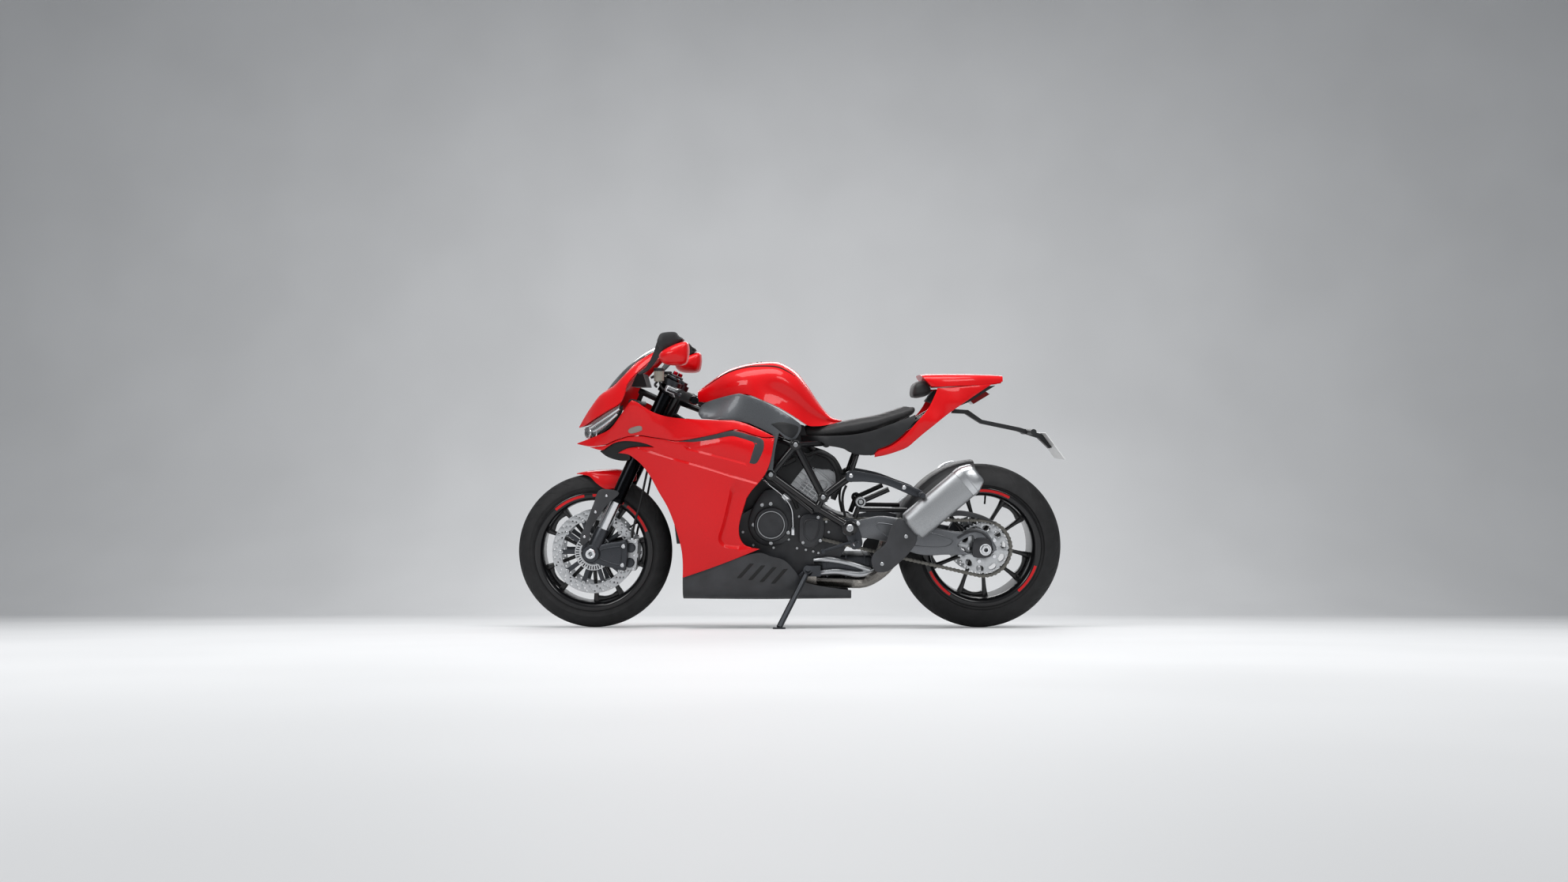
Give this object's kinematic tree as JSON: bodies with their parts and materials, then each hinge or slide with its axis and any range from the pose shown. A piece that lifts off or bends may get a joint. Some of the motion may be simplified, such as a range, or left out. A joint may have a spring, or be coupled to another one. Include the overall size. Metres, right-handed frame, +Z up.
{
  "type": "sport motorcycle",
  "caption": "Fully faired sport motorcycle with spoked cast wheels, upside-down fork, trellis frame, twin silencers and side stand, parked on the stand.",
  "frame": {"origin": "on the ground, under the middle of the parked motorcycle's box", "axes": "+X from the front wheel to the rear wheel, +Y to the rider's right, +Z up from the ground"},
  "size_m": [2.1209, 0.8117, 1.1641],
  "materials": {
    "tyre_rubber": "matt",
    "gloss_black": "gloss",
    "disc_steel": "brushed",
    "dark_metal": "satin",
    "fork_black": "satin",
    "bright_steel": "polished",
    "cast_aluminium": "cast",
    "silencer_metal": "brushed",
    "red_paint": "gloss",
    "grey_paint": "satin",
    "black_plastic": "matt",
    "seat_cover": "matt",
    "grip_rubber": "matt",
    "screen_tint": "gloss",
    "lamp_lens": "gloss",
    "tail_lens": "gloss",
    "plate_white": "satin"
  },
  "bodies": {
    "root": {"rear_caliper": "dark_metal", "rear_axle": "bright_steel", "frame": "gloss_black", "subframe": "gloss_black", "crankcase": "dark_metal", "cylinders": "cast_aluminium", "engine_covers": "gloss_black", "airbox": "black_plastic", "sprocket_cover": "gloss_black", "chain": "disc_steel", "radiator": "black_plastic", "exhaust_pipes": "disc_steel", "silencers": "silencer_metal", "silencer_shields": "black_plastic", "swingarm": "dark_metal", "hugger": "black_plastic", "stand_bracket": "dark_metal", "footrests": "dark_metal", "pillion_hangers": "dark_metal", "tank": "red_paint", "tank_panels": "grey_paint", "seat": "seat_cover", "tail_hump": "red_paint", "tail_pad": "seat_cover", "tail_sides": "red_paint", "side_covers": "black_plastic", "side_panels": "red_paint", "shoulder_panels": "red_paint", "belly_pan": "black_plastic", "upper_cowl": "red_paint", "windscreen": "screen_tint", "headlights": "lamp_lens", "nose_grille": "black_plastic", "fairing_stay": "black_plastic", "dash": "black_plastic", "tail_light": "tail_lens", "undertail": "black_plastic", "number_plate": "plate_white", "mirrors": "red_paint", "mirror_stalks": "fork_black"},
    "steering": {"fork_tubes": "fork_black", "fork_sliders": "bright_steel", "fork_feet": "dark_metal", "yokes": "dark_metal", "handlebars": "fork_black", "grips": "grip_rubber", "levers": "fork_black", "front_fender": "red_paint", "fork_guards": "dark_metal", "front_calipers": "dark_metal", "front_axle": "bright_steel", "brake_hoses": "grip_rubber"},
    "front_wheel": {"front_tyre": "tyre_rubber", "front_rim": "gloss_black", "front_discs": "disc_steel"},
    "rear_wheel": {"rear_tyre": "tyre_rubber", "rear_rim": "gloss_black", "rear_disc": "disc_steel", "rear_sprocket": "disc_steel"},
    "side_stand": {"side_stand": "dark_metal"}
  },
  "joints": [
    {"name": "steering_head", "type": "hinge", "parent": "root", "child": "steering", "pos_m": [-0.46284, 0.02579, 0.85984], "axis": [0.4226, -0.1261, 0.8975], "range_deg": [-25, 25]},
    {"name": "front_wheel_spin", "type": "hinge", "parent": "steering", "child": "front_wheel", "pos_m": [-0.7605, 0.10475, 0.298], "axis": [0, 0.9903, 0.1392], "continuous": true},
    {"name": "rear_wheel_spin", "type": "hinge", "parent": "root", "child": "rear_wheel", "pos_m": [0.7395, 0.10196, 0.31781], "axis": [0, 0.9903, 0.1392], "continuous": true},
    {"name": "side_stand_fold", "type": "hinge", "parent": "root", "child": "side_stand", "pos_m": [0.0675, -0.03433, 0.20979], "axis": [0, -0.9367, 0.3502], "range_deg": [0, 115]}
  ]
}
